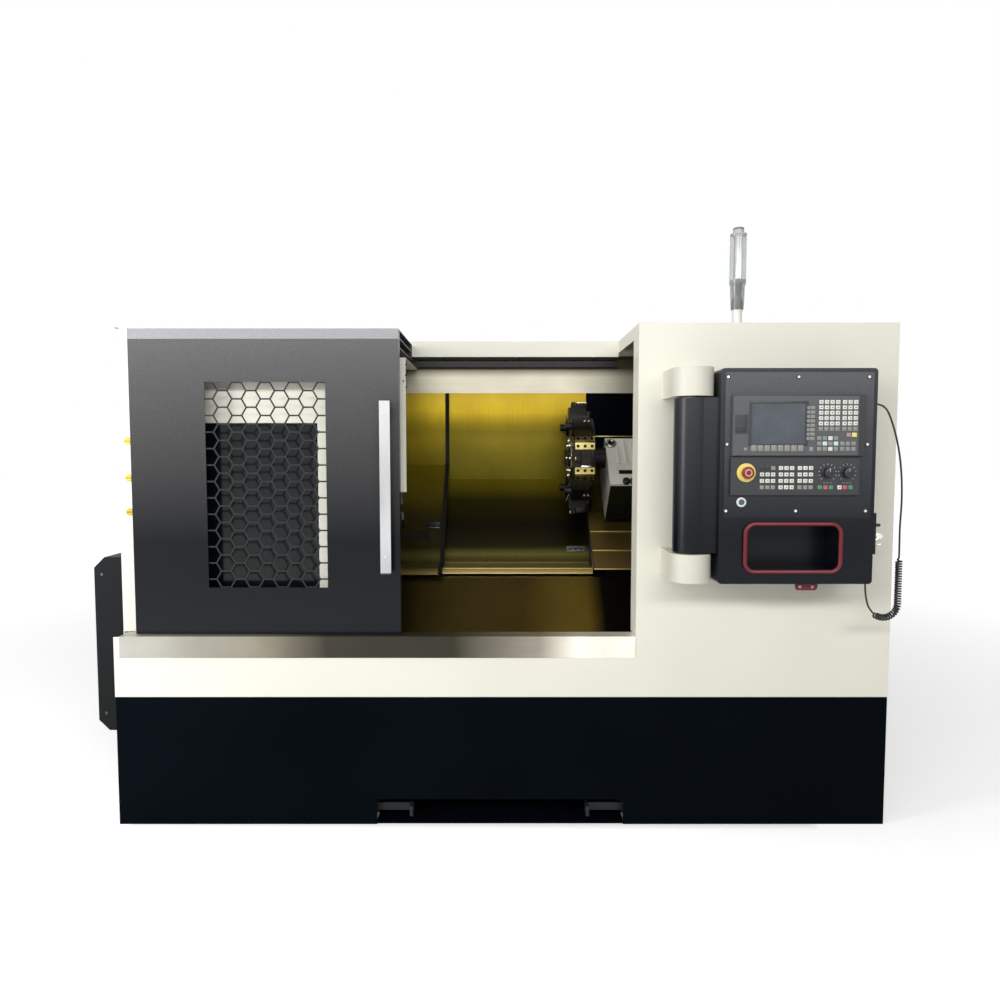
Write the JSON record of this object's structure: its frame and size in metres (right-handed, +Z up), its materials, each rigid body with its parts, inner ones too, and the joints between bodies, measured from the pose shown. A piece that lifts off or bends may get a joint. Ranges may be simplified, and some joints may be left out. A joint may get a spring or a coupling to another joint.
{
  "type": "cnc turning lathe",
  "caption": "Slant-bed CNC turning lathe in a sheet-metal enclosure with a sliding door, a turret, a chuck and a swinging control pendant on a curly cord.",
  "frame": {"origin": "on the floor under the middle of the machine's box, its cord left out", "axes": "+X to the right along the spindle, seen from the operator's side; +Y from the front to the rear; +Z up"},
  "size_m": [2.9, 1.841, 2.14],
  "materials": {
    "off_white_paint": "off-white powder coat, semi-gloss",
    "charcoal_powder": "charcoal powder coat, finely textured, satin",
    "navy_black_paint": "navy-black paint, satin",
    "brushed_stainless": "stainless sheet, brushed along its length",
    "way_cover_steel": "rolled steel way cover, brushed and oiled",
    "handle_aluminium": "anodised aluminium, brushed",
    "machined_iron": "machined cast iron",
    "casting_paint": "light grey casting enamel",
    "housing_grey": "light grey enamel, satin",
    "ground_steel": "ground steel",
    "black_oxide": "black oxide steel",
    "chuck_steel": "hardened chuck steel, turned and ground",
    "jaw_steel": "hardened steel jaws",
    "panel_black": "black fine-textured panel",
    "unit_grey": "dark grey control panel overlay",
    "screen_glass": "flat display screen",
    "key_grey": "pale grey membrane keys",
    "red_enamel": "red enamel",
    "stop_red": "red moulded plastic",
    "knob_black": "black moulded knob",
    "button_blue_grey": "blue-grey button cap",
    "lamp_clear": "clear lamp lens",
    "lamp_grey": "grey lamp base and stem",
    "dark_pane": "dark polycarbonate pane",
    "cord_rubber": "black rubber cord",
    "zinc_steel": "zinc-plated steel"
  },
  "bodies": {
    "frame": {"bed": "casting_paint", "levelling_feet": "zinc_steel", "skirt_front": "navy_black_paint", "skirt_left": "navy_black_paint", "skirt_right": "navy_black_paint", "skirt_rear": "navy_black_paint", "front_cover": "off_white_paint", "door_sill": "brushed_stainless", "left_cover": "off_white_paint", "inner_window": "dark_pane", "left_side_panel": "off_white_paint", "right_side_panel": "off_white_paint", "rear_panel": "off_white_paint", "roof": "off_white_paint", "lintel": "brushed_stainless", "door_rail": "zinc_steel", "end_guard": "navy_black_paint", "lamp_base": "lamp_grey", "lamp_lens": "lamp_clear", "fixed_way_cover": "way_cover_steel", "chip_chute": "way_cover_steel", "headstock": "casting_paint", "z_rails": "ground_steel", "upper_arm": "off_white_paint", "lower_arm": "off_white_paint"},
    "door": {"door_panel": "charcoal_powder", "hex_guard": "charcoal_powder", "door_handle": "handle_aluminium"},
    "spindle": {"spindle": "ground_steel", "chuck": "chuck_steel", "chuck_cylinder": "black_oxide"},
    "jaw_1": {"jaw_1": "jaw_steel"},
    "jaw_2": {"jaw_2": "jaw_steel"},
    "jaw_3": {"jaw_3": "jaw_steel"},
    "carriage": {"saddle": "machined_iron", "sliding_way_cover": "way_cover_steel", "apron_lower": "way_cover_steel"},
    "apron": {"apron_middle": "way_cover_steel"},
    "cross": {"cross_slide": "way_cover_steel", "turret_housing": "housing_grey"},
    "turret": {"turret_disc": "black_oxide", "tool_holders": "black_oxide"},
    "pendant": {"pendant_box": "charcoal_powder", "pendant_face": "panel_black", "display_unit": "unit_grey", "display_screen": "screen_glass", "control_unit": "unit_grey", "panel_keys": "key_grey", "pocket_frame": "red_enamel", "side_block": "black_oxide", "lock_tab": "red_enamel", "cord_glands": "black_oxide", "upper_lead": "cord_rubber", "curly_cord": "cord_rubber", "lower_lead": "cord_rubber"},
    "emergency_stop": {"emergency_stop": "stop_red"},
    "feed_knob": {"feed_knob": "knob_black"},
    "speed_knob": {"speed_knob": "knob_black"},
    "start_button": {"start_button": "button_blue_grey"}
  },
  "joints": [
    {"name": "door_slide", "type": "slide", "parent": "frame", "child": "door", "axis": [1, 0, 0], "range_m": [0, 0.815]},
    {"name": "pendant_pivot", "type": "hinge", "parent": "frame", "child": "pendant", "pos_m": [0.719, -0.8125, 1.2], "axis": [0, 0, 1], "range_deg": [-90, 0]},
    {"name": "spindle_spin", "type": "hinge", "parent": "frame", "child": "spindle", "pos_m": [-0.4, -0.1645, 1.06], "axis": [1, 0, 0], "continuous": true},
    {"name": "jaw_1_slide", "type": "slide", "parent": "spindle", "child": "jaw_1", "axis": [0, 0, 1], "range_m": [-0.004, 0.004]},
    {"name": "jaw_2_slide", "type": "slide", "parent": "spindle", "child": "jaw_2", "axis": [0, -0.866, -0.5], "range_m": [-0.004, 0.004]},
    {"name": "jaw_3_slide", "type": "slide", "parent": "spindle", "child": "jaw_3", "axis": [0, 0.866, -0.5], "range_m": [-0.004, 0.004]},
    {"name": "carriage_slide", "type": "slide", "parent": "frame", "child": "carriage", "axis": [1, 0, 0], "range_m": [-0.45, 0]},
    {"name": "cross_feed", "type": "slide", "parent": "carriage", "child": "cross", "axis": [0, 0.7071, 0.7071], "range_m": [-0.16, 0.02]},
    {"name": "apron_follow", "type": "slide", "parent": "carriage", "child": "apron", "axis": [0, 0.7071, 0.7071], "range_m": [-0.08, 0.01]},
    {"name": "turret_index", "type": "hinge", "parent": "cross", "child": "turret", "pos_m": [0.453, 0.0547, 1.2792], "axis": [1, 0, 0], "continuous": true},
    {"name": "emergency_stop_press", "type": "slide", "parent": "pendant", "child": "emergency_stop", "axis": [0, 1, 0], "range_m": [0, 0.004]},
    {"name": "feed_knob_turn", "type": "hinge", "parent": "pendant", "child": "feed_knob", "pos_m": [1.128, -0.9, 1.243], "axis": [0, -1, 0], "range_deg": [-135, 135]},
    {"name": "speed_knob_turn", "type": "hinge", "parent": "pendant", "child": "speed_knob", "pos_m": [1.189, -0.9, 1.243], "axis": [0, -1, 0], "range_deg": [-135, 135]},
    {"name": "start_button_press", "type": "slide", "parent": "pendant", "child": "start_button", "axis": [0, 1, 0], "range_m": [0, 0.0015], "stiffness_N_per_m": 400}
  ],
  "couplings": [
    {"joint": "jaw_2_slide", "follows": "jaw_1_slide", "ratio": 1},
    {"joint": "jaw_3_slide", "follows": "jaw_1_slide", "ratio": 1},
    {"joint": "apron_follow", "follows": "cross_feed", "ratio": 0.5}
  ]
}
